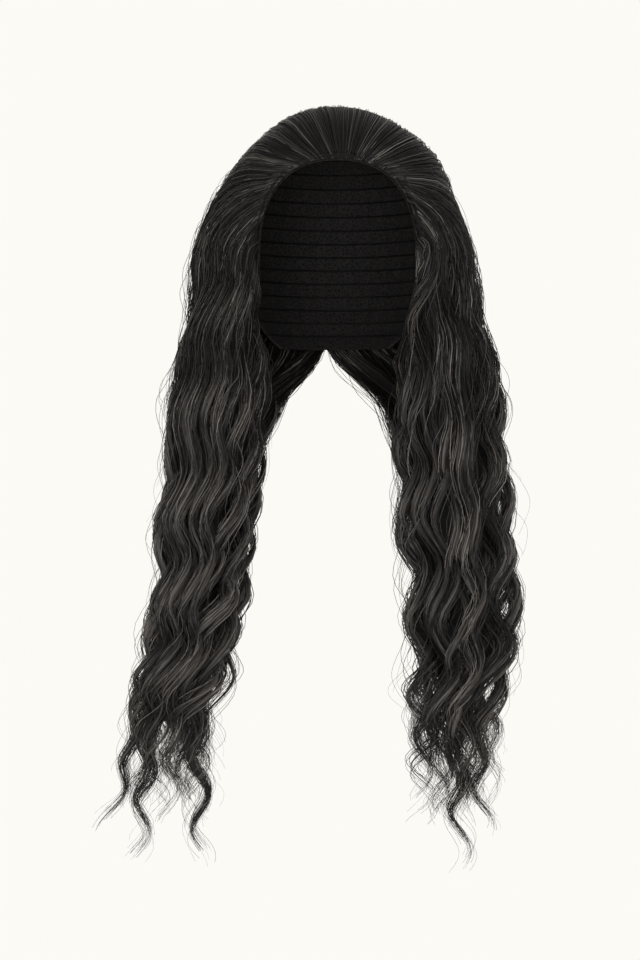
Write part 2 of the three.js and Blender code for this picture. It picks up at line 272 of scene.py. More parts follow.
# %% Look a course up between the guides
def combed(side, share, along):
    """Directions on the crown between the guides, by share of the hairline and share of the way."""
    guide = GUIDE[side]
    row = np.clip(share, 0, 1) * (GUIDES - 1)
    col = np.clip(along, 0, 1) * (GUIDE_POINTS - 1)
    row_low = np.minimum(row.astype(int), GUIDES - 2)
    col_low = np.minimum(col.astype(int), GUIDE_POINTS - 2)
    row_part = (row - row_low)[..., None]
    col_part = (col - col_low)[..., None]
    upper = blend(guide[row_low, col_low], guide[row_low, col_low + 1], col_part)
    lower = blend(guide[row_low + 1, col_low], guide[row_low + 1, col_low + 1], col_part)
    return unit(blend(upper, lower, row_part))


# %% [markdown]
# ## From the crown into a fall
# Below the ears the hair hangs in two falls. A strand's place in its fall is its ring, from 0 on the inside
# of the neck, round the front and the outside, to 1 on the inside again, and its layer, from the middle of
# the fall to its surface. The place where it left the crown fades out below the ears, so there is no kink.
# The waves start on the head: nothing at the crown, gentle at the cheeks, where they bulge forward more
# than sideways, and strong and tighter towards the ends.

# %% Places in a fall
RING_STOPS = [0.0, 0.2, 0.38, 0.5, 0.68, 1.0]
RING_ANGLES = np.radians([-190, -108, -42, 0, 60, 170])  # 0 is the outside, -90 the front
ROOT_RINGS = [0.0, 0.15, 0.2, 0.3, 0.4, 0.5, 0.6, 0.7, 0.8, 1.0]  # hair at these places on the ring
ROOT_SHARES = [0.0, 0.13, 0.2, 0.32, 0.43, 0.54, 0.61, 0.67, 0.74, 1.0]  # starts here on the hairline
FADE_SHARES = [0.0, 0.3, 0.6, 0.78, 1.0]  # and loses the place it left the crown at within these drops
FADE_DROPS = [120.0, 75.0, 100.0, 150.0, 115.0]
WAVE_FROM = 40.0  # waves begin this far below the crown
WAVE_LENGTHS = (74.0, 54.0)  # at the cheeks and at the ends
WAVE_RUN = 560.0
WAVE_DROPS = [0, 70, 200, 420]
WAVE_REACHES = [0.0, 4.2, 6.2, 8.0]
WAVE_ACROSS = [0.6, 0.6, 0.65, 1.0]  # share of the reach that goes sideways
WAVE_DEEP = 0.75  # and the share that goes forward and back
WAVE_DRIFT = 0.9  # waves are no clockwork: they run early and late by this much
DRIFT_RUN, DRIFT_SPREAD = 85.0, 2.3
DEEPEST, LEAST_REACH = 0.2, 1.0  # guards for points in the very middle


def fall_place(side, ring, layer, z):
    """A point in a fall. A strand outside layer 1 stands off the fall's surface."""
    name = "left" if side < 0 else "right"
    edges = (name + "_inner", name + "_outer", "front", "back")
    inner, outer, front, back = (np.interp(-z, -FALL["z"], FALL[edge]) for edge in edges)
    angle = np.interp(ring, RING_STOPS, RING_ANGLES)
    x = side * ((inner + outer) / 2 + layer * (outer - inner) / 2 * np.cos(angle))
    y = (front + back) / 2 + layer * (back - front) / 2 * np.sin(angle)
    return np.stack([x, y, z], axis=-1)


def wave_turn(z, hair):
    """How far round its wave each hair is at a height. A pace over 1 gives shorter waves."""
    drop = np.maximum(0, -z - WAVE_FROM)
    phase = hair["phase"][:, None]
    start, end = WAVE_LENGTHS
    slope = (start - end) / WAVE_RUN
    cycles = np.log(start / (start - slope * np.minimum(drop, WAVE_RUN))) / slope
    drift = WAVE_DRIFT * np.sin(drop / DRIFT_RUN + DRIFT_SPREAD * phase)
    return math.tau * cycles * hair["pace"][:, None] + phase + drift


def wave(z, hair):
    """Sideways and forward swing of waved hair at a height."""
    drop = np.maximum(0, -z - WAVE_FROM)
    turn = wave_turn(z, hair)
    reach = hair["sway"][:, None] * np.interp(drop, WAVE_DROPS, WAVE_REACHES)
    across = reach * np.interp(drop, WAVE_DROPS, WAVE_ACROSS) * np.sin(turn)
    return np.stack([across, WAVE_DEEP * reach * np.cos(turn), np.zeros_like(turn)], axis=-1)


def curl_place(curl, z, offset):
    """A strand's place in one of the free curls: on its axis, swung by its wave, offset across it."""
    top = CURLS["top"][curl][:, None, :]
    tip = CURLS["tip"][curl][:, None, :]
    along = (z - top[..., 2]) / (tip[..., 2] - top[..., 2])
    place = blend(top, tip, along[..., None])
    turn = CURLS["phase"][curl][:, None] + CURL_RATE * CURLS["turns"][curl][:, None] * along
    turn = turn + CURL_SPREAD * offset[:, 1:]
    swing = CURL_SWING * ease(along, 0, CURL_SWING_RUN)
    taper = blend(CURL_TOP, CURL_TIP, ease(along, 0, CURL_TAPER_RUN))
    thick = CURLS["radius"][curl][:, None] * taper
    place[..., 0] += swing * np.sin(turn) + thick * offset[:, :1]
    place[..., 1] += CURL_DEEP * swing * np.cos(turn) + CURL_FLAT * thick * offset[:, 1:]
    place[..., 2] = z
    return place


def clear_of_wearer(points, clear):
    """Moves what would lie in the head or the neck out to their surface, and clear of it by so much."""
    room = HEAD + CAP_WALL + clear[:, None, None]
    inside = (points - HEAD_CENTRE) / room
    level = np.linalg.norm(inside, axis=-1, keepdims=True)
    points = np.where(level < 1, HEAD_CENTRE + inside / np.maximum(level, DEEPEST) * room, points)
    reach = np.linalg.norm(points[..., :2], axis=-1, keepdims=True)
    push = np.maximum(1, (NECK_RADIUS + clear[:, None, None]) / np.maximum(reach, LEAST_REACH))
    beside = np.concatenate([points[..., :2] * push, points[..., 2:]], axis=-1)
    return np.where(points[..., 2:] < NECK_TOP, beside, points)


# %% [markdown]
# ## One function for every hair
# The core, the locks, the strands and the loose hairs all take the same way, so one function works out all
# paths. It takes one row for each hair and gives a run of points for each: a few on the crown, where hair
# is straight, and many in the fall, where it waves. A hair may also start in the fall, a little inside it,
# where its root is hidden.

# %% The path of each hair
GATHER_ABOVE, GATHER_BELOW = 30.0, 75.0  # a lock gathers into its curl so far above and below its top
CLUMP_FROM, CLUMP_FULL = 200.0, 470.0  # strands of a lock draw together from here down
ROOT_CROWDING = 1.7  # the points of a path crowd towards its root by this power
CLIMB_FROM, CLIMB_RUN = 0.2, 0.28  # a hair climbs from a share of its layer in this much of its course
END_LAYER_DROPS = (240, 450)  # between these drops it passes to its end layer
SUNK_RUN = 0.2  # and a hidden root rises in this share of the fall
FRIZZ_FROM, FRIZZ_FULL = 40.0, 160.0  # combed hair lies close, and gets loose from here down
FRIZZ_SLOW, FRIZZ_QUICK, QUICK_SHARE = 9, 21, 0.5  # it wanders slowly, and half as much quickly
FRIZZ_ROOT, FRIZZ_TIP = (0.03, 0.4), (0.75, 1)  # shares of its length
FRIZZ_TIP_GAIN = 1.6
SHORT_ROOT = 0.3  # hair that starts past this share of its course has a short way on the crown,
ROOT_POINTS, ROOT_PASSES, ROOT_PULL = 26, 6, 0.5  # so its first points are smoothed in passes,
ROOT_CLOSE = (3.0, 8.0)  # fully if this close, not at all if this far apart
EAR_LEVEL, EAR_REACH = -122.0, 36.0  # the hair stands out beside the ears,
EAR_SIDES = (60, 105)  # and more between these distances from the middle
EAR_FULLNESS = {-1: 5.0, 1: 7.0}
# a plain hair starts on the crown, ends in no curl, keeps its place in its lock and has no frizz
PLAIN_HAIR = dict(
    sunk=1.0, start=0.0, phase=0.0, pace=1.0, curl=-1, clump=1.0, frizz=0.0, rate=1.0,
    clear=0.8, cover=WELT_COVER,
)


def hair_rows(ring, **given):
    """One row for each hair, plain where nothing else is given. A single number counts for all of them."""
    count = len(ring)
    rows = {
        **PLAIN_HAIR,
        "ring": ring,
        "lock_ring": ring,
        "share": np.interp(ring, ROOT_RINGS, ROOT_SHARES),
        "offset": np.zeros((count, 2)),
        "seed": np.zeros((count, 6)),
        **given,
    }
    return {key: np.full(count, value) if np.isscalar(value) else value for key, value in rows.items()}


def crown_part(side, hair, points):
    part = (np.arange(points) / points) ** ROOT_CROWDING
    along = blend(hair["root"][:, None], 1, part)
    climb = blend(CLIMB_FROM, 1, ease(part, 0, CLIMB_RUN))
    layer = hair["layer"][:, None] * climb
    crown = crown_point(combed(side, hair["share"][:, None], along), layer, hair["cover"][:, None])
    return crown + wave(crown[..., 2], hair)


def fall_part(side, hair, points):
    share = hair["share"]
    join = join_height(share)
    down = np.linspace(0, 1, points)
    z = blend(np.minimum(join, hair["start"])[:, None], hair["tip"][:, None], down)
    loose = blend(1, hair["clump"][:, None], ease(-z, CLUMP_FROM, CLUMP_FULL))
    ring = blend(hair["lock_ring"][:, None], hair["ring"][:, None], loose)
    layer = blend(hair["layer"][:, None], hair["end_layer"][:, None], ease(-z, *END_LAYER_DROPS))
    layer = layer * blend(hair["sunk"][:, None], 1, ease(down, 0, SUNK_RUN))
    fall = fall_place(side, ring, layer, z)
    leave = crown_point(combed(side, share, np.ones_like(share)), hair["layer"], hair["cover"])
    arrive = fall_place(side, hair["ring"], hair["layer"], join)
    fade = 1 - ease(join[:, None] - z, 0, np.interp(share, FADE_SHARES, FADE_DROPS)[:, None])
    fall += (leave - arrive)[:, None, :] * fade[..., None]
    fall += wave(fall[..., 2], hair)
    curl = np.maximum(hair["curl"], 0)
    top = CURLS["top"][curl][:, 2:]
    gather = ease(top - z, -GATHER_ABOVE, GATHER_BELOW) * (hair["curl"] >= 0)[:, None]
    return blend(fall, curl_place(curl, z, hair["offset"]), gather[..., None])


def smooth_roots(paths, short):
    """Takes out the kinks where a hair with a short way on the crown rises from the cap and turns."""
    for _ in range(ROOT_PASSES):
        before = paths[:, :ROOT_POINTS]
        after = paths[:, 2 : ROOT_POINTS + 2]
        apart = np.linalg.norm(after - before, axis=-1, keepdims=True)
        pull = ROOT_PULL * short[:, None, None] * (1 - ease(apart, *ROOT_CLOSE))
        here = paths[:, 1 : ROOT_POINTS + 1]
        paths[:, 1 : ROOT_POINTS + 1] = blend(here, (before + after) / 2, pull)
    return paths


def hair_paths(side, hair, crown_points, fall_points):
    parts = [fall_part(side, hair, fall_points)]
    if crown_points:
        parts.insert(0, crown_part(side, hair, crown_points))
    paths = np.concatenate(parts, axis=1)
    run = run_along(paths)
    station = (run / run[:, -1:])[..., None]
    rate = hair["rate"][:, None, None]
    slow = np.sin(FRIZZ_SLOW * rate * station + hair["seed"][:, None, :3])
    quick = np.sin(FRIZZ_QUICK * rate * station + hair["seed"][:, None, 3:])
    below_crown = ease(-paths[..., 2:], FRIZZ_FROM, FRIZZ_FULL)
    loosened = below_crown * ease(station, *FRIZZ_ROOT) + FRIZZ_TIP_GAIN * ease(station, *FRIZZ_TIP)
    paths += hair["frizz"][:, None, None] * (slow + QUICK_SHARE * quick) * loosened
    beside_ears = bell(paths[..., 2], EAR_LEVEL, EAR_REACH) * ease(side * paths[..., 0], *EAR_SIDES)
    paths[..., 0] += side * EAR_FULLNESS[side] * beside_ears
    return smooth_roots(clear_of_wearer(paths, hair["clear"]), hair["root"] > SHORT_ROOT)


# %% Fewer points, where they count
EVEN_STEP = 24.0  # a step this long weighs as much as a bend of so many radians
EVEN_BEND = 0.45
END_FROM, END_FULL = 400.0, 470.0  # below here the hair hangs singly, so its bends get more points
END_WEIGHT = 1.6
DENSE = (24, 120)  # points on the crown and in the fall before they are evened


def evened(paths, count):
    """The same paths with fewer points, closer together where a path bends."""
    steps = np.diff(paths, axis=1)
    ahead = unit(steps)
    bends = np.arccos(np.clip(np.sum(ahead[:, 1:] * ahead[:, :-1], axis=-1), -1, 1))
    bends = np.concatenate([bends, bends[:, -1:]], axis=1)
    weights = np.linalg.norm(steps, axis=-1) / EVEN_STEP + bends / EVEN_BEND
    weights = weights * blend(1, END_WEIGHT, ease(-paths[:, 1:, 2], END_FROM, END_FULL))
    measure = np.cumsum(np.concatenate([np.zeros((len(paths), 1)), weights], axis=1), axis=1)
    shares = np.linspace(0, 1, count)
    picked = [
        [np.interp(shares * along[-1], along, path[:, axis]) for axis in range(3)]
        for path, along in zip(paths, measure)
    ]
    return np.array(picked).transpose(0, 2, 1)


# %% [markdown]
# ## Tubes from arrays
# A strand is a thin closed tube. Thousands of separate curve objects would be slow, so all the strands of a
# piece are worked out as arrays and joined in one mesh. The ring of each tube is carried along its path
# without twisting.


# %% Build one mesh from arrays
def add_object(name, data):
    made = bpy.data.objects.new(name, data)
    bpy.context.collection.objects.link(made)
    return made


def mesh_object(name, points, faces, corner_maps, tones, material):
    """A smooth mesh. faces is a list of arrays, one for each number of corners."""
    mesh = bpy.data.meshes.new(name)
    corners = np.concatenate([group.ravel() for group in faces])
    sizes = np.concatenate([np.full(len(group), group.shape[1]) for group in faces])
    starts = np.concatenate([[0], np.cumsum(sizes)[:-1]])
    mesh.vertices.add(len(points))
    mesh.vertices.foreach_set("co", (points * MM).astype(np.float32).ravel())
    mesh.loops.add(len(corners))
    mesh.loops.foreach_set("vertex_index", corners.astype(np.int32))
    mesh.polygons.add(len(starts))
    mesh.polygons.foreach_set("loop_start", starts.astype(np.int32))
    mesh.update(calc_edges=True)
    flow = mesh.uv_layers.new(name="flow")
    flow.uv.foreach_set("vector", corner_maps.astype(np.float32).ravel())
    tone = mesh.attributes.new("tone", "FLOAT", "POINT")
    tone.data.foreach_set("value", tones.astype(np.float32))
    mesh.shade_smooth()
    mesh.materials.append(material)
    made = add_object(name, mesh)
    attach(made, "root")
    print(f"{name}: {int(np.sum(sizes - 2))} triangles")
    return made


# %% Build many tubes along paths
ASKEW = np.array([0.35, 0.9, 0.25])  # a direction that no hair starts in
LANE_STEP = 2  # girths from one tube's lane on the map to the next
ROOT_THIN, THIN_RUN = 0.5, 0.12  # a strand starts thin, for this share of its length
TAPER_FROM = 0.6


def carried_frames(paths):
    ahead = unit(np.gradient(paths, axis=1))
    across = np.empty_like(paths)
    last = np.cross(ahead[:, 0], ASKEW)
    for i in range(paths.shape[1]):
        last = unit(last - np.sum(last * ahead[:, i], axis=-1, keepdims=True) * ahead[:, i])
        across[:, i] = last
    return across, np.cross(ahead, across)


def tube_faces(count, steps, sides):
    """Walls and ends of tubes whose points are numbered ring by ring."""
    index = np.arange(count * steps * sides).reshape(count, steps, sides)
    turned = np.roll(index, -1, axis=2)
    walls = np.stack([index[:, :-1], turned[:, :-1], turned[:, 1:], index[:, 1:]], axis=-1)
    return [walls.reshape(-1, 4), np.concatenate([index[:, 0, ::-1], index[:, -1]])]


def tubes(name, paths, radii, sides, tones, material):
    """One mesh of tubes. tones has one value for each point of the paths."""
    count, steps, _ = paths.shape
    across, beside = carried_frames(paths)
    turn = math.tau * np.arange(sides) / sides
    ring = np.cos(turn)[:, None] * across[:, :, None, :] + np.sin(turn)[:, None] * beside[:, :, None, :]
    points = paths[:, :, None, :] + radii[:, :, None, None] * ring
    faces = tube_faces(count, steps, sides)
    run = run_along(paths)
    girth = math.tau * radii.mean()
    lane = np.arange(count) * LANE_STEP * girth
    low = lane[:, None, None] + np.arange(sides) / sides * girth + np.zeros((count, steps - 1, 1))
    high = low + girth / sides
    here = run[:, :-1, None] + np.zeros(sides)
    there = run[:, 1:, None] + np.zeros(sides)
    wall_map = np.stack([low, here, high, here, high, there, low, there], axis=-1).reshape(-1, 2)
    starts = np.stack([lane, run[:, 0]], axis=-1)
    stops = np.stack([lane, run[:, -1]], axis=-1)
    end_map = np.repeat(np.concatenate([starts, stops]), sides, axis=0)
    maps = np.concatenate([wall_map, end_map])
    return mesh_object(name, points.reshape(-1, 3), faces, maps, np.repeat(tones, sides), material)


def tapered(thick, steps, tip_share, taper_from=TAPER_FROM):
    station = np.linspace(0, 1, steps)
    root = blend(ROOT_THIN, 1, ease(station, 0, THIN_RUN))
    shape = root * blend(1, tip_share, ease(station, taper_from, 1))
    return thick[:, None] * shape


# %% [markdown]
# ## Materials
# The hair is a synthetic fibre in charcoal, drawn fine and heat-set in waves. Each fibre is smooth, so it
# shows a soft streak of light along its length, and no two fibres are quite the same grey. On the strands
# the grey comes from a number stored with each strand. It also holds painted shade on the head and
# towards the ends, and painted light on the crests of its waves with painted shade in the troughs. On the
# core and the locks the grey comes from long thin streaks. On the locks the stored number adds only the
# painted light on the crests and the painted shade in the troughs, and the core's near-black greys are
# painted shade.


# %% Helpers for colours and nodes
def srgb(code):
    """A hex colour as the linear values that shaders take."""
    values = [int(code[i : i + 2], 16) / 255 for i in (1, 3, 5)]
    linear = [v / 12.92 if v <= 0.04045 else ((v + 0.055) / 1.055) ** 2.4 for v in values]
    return (*linear, 1.0)


def add_node(tree, kind, settings=None, inputs=None):
    """Adds a node, sets its settings, and sets or links its inputs."""
    node = tree.nodes.new(kind)
    for key, value in (settings or {}).items():
        setattr(node, key, value)
    for key, value in (inputs or {}).items():
        if isinstance(value, bpy.types.NodeSocket):
            tree.links.new(value, node.inputs[key])
        else:
            node.inputs[key].default_value = value
    return node


def new_material(name, roughness, ior, specular):
    material = bpy.data.materials.new(name)
    material.use_nodes = True
    tree = material.node_tree
    tree.nodes.clear()
    constants = {"Roughness": roughness, "IOR": ior, "Specular IOR Level": specular}
    surface = add_node(tree, "ShaderNodeBsdfPrincipled", inputs=constants)
    add_node(tree, "ShaderNodeOutputMaterial", inputs={"Surface": surface.outputs["BSDF"]})
    return material, tree, surface


def ramp_colour(tree, factor, stops):
    """A colour that passes from stop to stop as the factor rises."""
    node = add_node(tree, "ShaderNodeValToRGB", inputs={"Fac": factor})
    ramp = node.color_ramp
    while len(ramp.elements) < len(stops):
        ramp.elements.new(1.0)
    for element, (place, code) in zip(ramp.elements, stops):
        element.position = place
        element.color = srgb(code)
    return node.outputs["Color"]


# %% Charcoal fibre, for strands that are modelled one by one
FIBRE_GREYS = [(0.0, "#060505"), (0.4, "#1a1817"), (0.7, "#3d3a38"), (1.0, "#79736f")]
FIBRE_IOR = 1.54  # polyester and acrylic hair fibre
FIBRE_ROUGHNESS = 0.36
FIBRE_SPECULAR = 0.15  # each strand stands for a wisp, which shades itself


def strand_fibre():
    # smooth drawn fibre: a soft light along each strand, and a grey of its own, with painted shade and
    # painted light added in the stored tone
    material, tree, surface = new_material(
        "charcoal_fibre_strands", FIBRE_ROUGHNESS, FIBRE_IOR, FIBRE_SPECULAR
    )
    tone = add_node(tree, "ShaderNodeAttribute", {"attribute_name": "tone"})
    grey = ramp_colour(tree, tone.outputs["Fac"], FIBRE_GREYS)
    tree.links.new(grey, surface.inputs["Base Color"])
    return material


# %% Charcoal fibre in mass, for the core and the locks
STREAK_WIDTH = 1.1  # real fibres are under 0.1 mm: drawn as the fine wisps that show at this size
STREAK_LENGTH = 90.0
STREAK_DEPTH = 0.5


def massed_fibre(name, greys, roughness, specular):
    # many fibres side by side: fine streaks of light and dark that run with the hair
    material, tree, surface = new_material(name, roughness, FIBRE_IOR, specular)
    flow = add_node(tree, "ShaderNodeUVMap", {"uv_map": "flow"})
    scale = (1 / STREAK_WIDTH, 1 / STREAK_LENGTH, 1.0)
    mapped = add_node(tree, "ShaderNodeMapping", inputs={"Vector": flow.outputs["UV"], "Scale": scale})
    grain = {"Vector": mapped.outputs["Vector"], "Scale": 1.0, "Detail": 3.0, "Roughness": 0.65}
    streaks = add_node(tree, "ShaderNodeTexNoise", {"noise_dimensions": "2D"}, grain)
    # on the locks the stored tone adds painted light on the wave crests and painted shade in the troughs
    tone = add_node(tree, "ShaderNodeAttribute", {"attribute_name": "tone"})
    both = {0: streaks.outputs["Fac"], 1: tone.outputs["Fac"]}
    toned = add_node(tree, "ShaderNodeMath", {"operation": "ADD"}, both)
    grey = ramp_colour(tree, toned.outputs["Value"], greys)
    relief = {"Height": streaks.outputs["Fac"], "Strength": 0.8, "Distance": STREAK_DEPTH * MM}
    raised = add_node(tree, "ShaderNodeBump", inputs=relief)
    tree.links.new(grey, surface.inputs["Base Color"])
    tree.links.new(raised.outputs["Normal"], surface.inputs["Normal"])
    return material


STRAND_FIBRE = strand_fibre()
LOCK_GREYS = [(0.3, "#0a0909"), (0.5, "#211e1d"), (0.7, "#54504e")]
# near-black greys of the core: painted shade of the deep hair, which is the same fibre as the rest
CORE_SHADE_GREYS = [(0.3, "#040404"), (0.5, "#0a0909"), (0.7, "#171515")]
LOCK_FIBRE = massed_fibre("charcoal_fibre_locks", LOCK_GREYS, FIBRE_ROUGHNESS, FIBRE_SPECULAR)
CORE_FIBRE = massed_fibre("charcoal_fibre_core", CORE_SHADE_GREYS, roughness=0.75, specular=0.12)
print("Fibre materials:", STRAND_FIBRE.name, LOCK_FIBRE.name, CORE_FIBRE.name)

# %% [markdown]
# ## The core
# Looking into hair, the eye meets deeper hair, never a gap. The core is a thick dark sheet under the
# strands that runs from the hairline over the crown and down each fall. Its near-black greys are painted
# shade: the deep hair is the same fibre, only in shade. It takes the same paths as the strands, so its
# streaks run with them. It stands for the solid sections of the wig's hair and keeps their form.

# %% Weave the core from the same paths
CORE_ROWS = 56
CORE_POINTS = (36, 64)
CORE_ROW_WIDTH = 5.0
CORE_OUTER, CORE_OUTER_END = 0.84, 0.35  # layers of its outer face, on the crown and at the ends
CORE_INNER, CORE_INNER_END = 0.2, 0.2
CORE_EDGES = (0.015, 0.96)  # its first and last row in the fall: strands hang over both edges
CORE_TIP = -470.0
CORE_ROOT = 0.02  # it starts this share of the course behind the hairline
CORE_SWAY = 0.3  # its waves are weaker than those of the strands
CORE_CLEAR = 2.6  # room between its faces and the wearer
CORE_COVER = 2.6  # it stays under the strands at the hairline


def core_paths(side, layer, end_layer):
    ring = np.linspace(0, 1, CORE_ROWS)
    hair = hair_rows(
        blend(*CORE_EDGES, ring),
        share=np.interp(ring, ROOT_RINGS, ROOT_SHARES),
        layer=layer,
        end_layer=end_layer,
        root=CORE_ROOT,
        tip=CORE_TIP,
        sway=CORE_SWAY,
        clear=CORE_CLEAR,
        cover=CORE_COVER,
    )
    return hair_paths(side, hair, *CORE_POINTS)


def make_core(name, side):
    outer = core_paths(side, CORE_OUTER, CORE_OUTER_END)
    inner = core_paths(side, CORE_INNER, CORE_INNER_END)
    rows, steps, _ = outer.shape
    index = np.arange(rows * steps).reshape(rows, steps)
    corners = [index[:-1, :-1], index[1:, :-1], index[1:, 1:], index[:-1, 1:]]
    skin = np.stack(corners, axis=-1).reshape(-1, 4)
    lining = skin[:, ::-1] + rows * steps
    border = np.concatenate([index[0, :], index[1:, -1], index[-1, -2::-1], index[-2:0:-1, 0]])
    after = np.roll(border, -1)
    rim = np.stack([border, border + rows * steps, after + rows * steps, after], axis=-1)
    faces = np.concatenate([skin, lining, rim])
    if side < 0:
        faces = faces[:, ::-1]
    points = np.concatenate([outer.reshape(-1, 3), inner.reshape(-1, 3)])
    across = np.arange(rows)[:, None] * CORE_ROW_WIDTH + np.zeros(steps)
    one_map = np.stack([across, run_along(outer)], axis=-1).reshape(-1, 2)
    maps = np.concatenate([one_map, one_map])[faces.ravel()]
    return mesh_object(name, points, [faces], maps, np.zeros(len(points)), CORE_FIBRE)


for name, side in SIDES.items():
    core = make_core(f"{name}_hair_core", side)
    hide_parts(f"front_{name}_hair", f"back_{name}_hair")

# %% [markdown]
# ## Locks
# Hair never hangs as single strands. Fibres that lie together wave together, so the hair is dealt out in
# wide sheets that share a wave, and in locks within them. Each lock has a place on the ring, a layer, a
# length, a wave close to its sheet's, and most locks end in one of the free curls. The deal is random but
# seeded, so the wig is the same each time.

# %% Deal out the sheets
SHEETS_PER_SIDE = 9
SHEET_SKEW = 0.9  # how much a wave shifts from edge to edge of its sheet
SWAY_SCATTER = 0.4
SEED = 7112
rng = np.random.default_rng(SEED)


def spread(count, low, high):
    return rng.uniform(low, high, count)


def about(count, reach):
    return spread(count, -reach, reach)


def any_turn(count):
    return spread(count, 0, math.tau)


def draw(count, **limits):
    """For each named quality, a number for each hair between its limits."""
    return {quality: spread(count, *limit) for quality, limit in limits.items()}


SHEETS = {
    side: draw(SHEETS_PER_SIDE, phase=(0, math.tau), sway=(0.8, 1.35), pace=(0.82, 1.12))
    for side in SIDES.values()
}


def sheet_wave(side, ring, scatter):
    """Phase, sway and pace of hairs at these places on the ring, scattered round those of their sheet."""
    count = len(ring)
    sheet = np.minimum((ring * SHEETS_PER_SIDE).astype(int), SHEETS_PER_SIDE - 1)
    within = ring * SHEETS_PER_SIDE - sheet - 0.5
    phase = SHEETS[side]["phase"][sheet] + SHEET_SKEW * within + rng.normal(0, scatter, count)
    reach = SWAY_SCATTER * scatter
    sway = SHEETS[side]["sway"][sheet] * spread(count, 1 - reach, 1 + reach)
    return {"phase": phase, "sway": sway, "pace": SHEETS[side]["pace"][sheet]}


print(SHEETS_PER_SIDE, "sheets on each side")

# %% Deal out the locks
LOCKS_PER_SIDE = 58
OUTER_SHARE = 0.7  # this many of the locks lie on the outside
FREE_SHARE = 0.3  # and this many end free, not in a curl
CURL_CROWDING = 9.0  # a curl that has a lock already counts as this much further away
OUTER_LAYERS, INNER_LAYERS = (0.9, 1.0), (0.62, 0.9)
OUTER_END_LAYERS, INNER_END_LAYERS = (0.65, 1.0), (0.1, 0.8)
CURL_LEVEL = -440.0  # the height at which a lock looks for the nearest curl
FREE_TIPS = (-555, -490)
TIP_SCATTER = 30.0
LOCK_TONES = (0.46, 0.16)  # mean and scatter of the greys
LOCK_OFFSET = 0.6  # how far a lock lies from the middle of its curl, in radii
LOCK_SCATTER = 0.3


def deal_curls(side, places):
    """The nearest of the side's curls for each lock, filled evenly."""
    own = np.nonzero(CURLS["side"] == side)[0]
    taken = np.zeros(len(own))
    curl = np.zeros(len(places), int)
    for k in rng.permutation(len(places)):
        apart = np.linalg.norm(CURLS["top"][own][:, :2] - places[k, :2], axis=-1)
        best = np.argmin(apart + CURL_CROWDING * taken)
        taken[best] += 1
        curl[k] = own[best]
    return curl


def deal_locks(side):
    count = LOCKS_PER_SIDE
    ring = (np.arange(count) + spread(count, 0.1, 0.9)) / count
    outer = rng.random(count) < OUTER_SHARE
    layer = np.where(outer, spread(count, *OUTER_LAYERS), spread(count, *INNER_LAYERS))
    end_layer = np.where(outer, spread(count, *OUTER_END_LAYERS), spread(count, *INNER_END_LAYERS))
    curl = deal_curls(side, fall_place(side, ring, end_layer, np.full(count, CURL_LEVEL)))
    free = rng.random(count) < FREE_SHARE
    free_tip = spread(count, *FREE_TIPS)
    return {
        "ring": ring,
        "layer": layer,
        "end_layer": end_layer,
        "curl": np.where(free, -1, curl),
        "tip": np.where(free, free_tip, CURLS["tip"][curl][:, 2] + spread(count, 0, TIP_SCATTER)),
        "tone": rng.normal(*LOCK_TONES, count),
        "offset": about((count, 2), LOCK_OFFSET),
        **sheet_wave(side, ring, LOCK_SCATTER),
    }


LOCKS = {side: deal_locks(side) for side in SIDES.values()}
print(LOCKS_PER_SIDE, "locks on each side")

# %% [markdown]
# ## Locks and strands in the falls
# Each lock gets a tapering body, streaked like a wisp of fibres, and strands that stray from it. Many of
# the strands start at the hairline and run the whole way to the tips, as they do on a real wig. They gather
# towards their tips as set curls do.

# %% Rows for the hairs of a lock
HAIRLINE_SHARE = 0.55  # this many of the outer strands start at the hairline
OUTER_ROOTS, INNER_ROOTS = (0.05, 0.7), (0.5, 0.95)  # where on the course the others start
RING_STRAY, LAYER_STRAY, END_LAYER_STRAY = 0.018, 0.08, 0.12  # how far strands depart from their lock
LAYER_LIMITS, END_LAYER_LIMITS = (0.3, 1.05), (0.05, 1.08)
PHASE_STRAY, SWAY_STRAY, PACE_STRAY = 0.17, 0.22, 0.02
OFFSET_STRAY, OFFSET_LIMITS = 0.4, (-1.1, 1.1)
LOCK_SUNK = 0.35  # a lock's body starts hidden, at this share of its layer
LOCK_STARTS = (-200, -140)
LOCK_SHORT, STRAND_SHORT = 25.0, 50.0  # a lock's body ends early, its strands unevenly
CLUMPING = (0.3, 0.8)
LEAST_FRIZZ, MORE_FRIZZ, FRIZZ_RARITY = 0.2, 2.4, 4


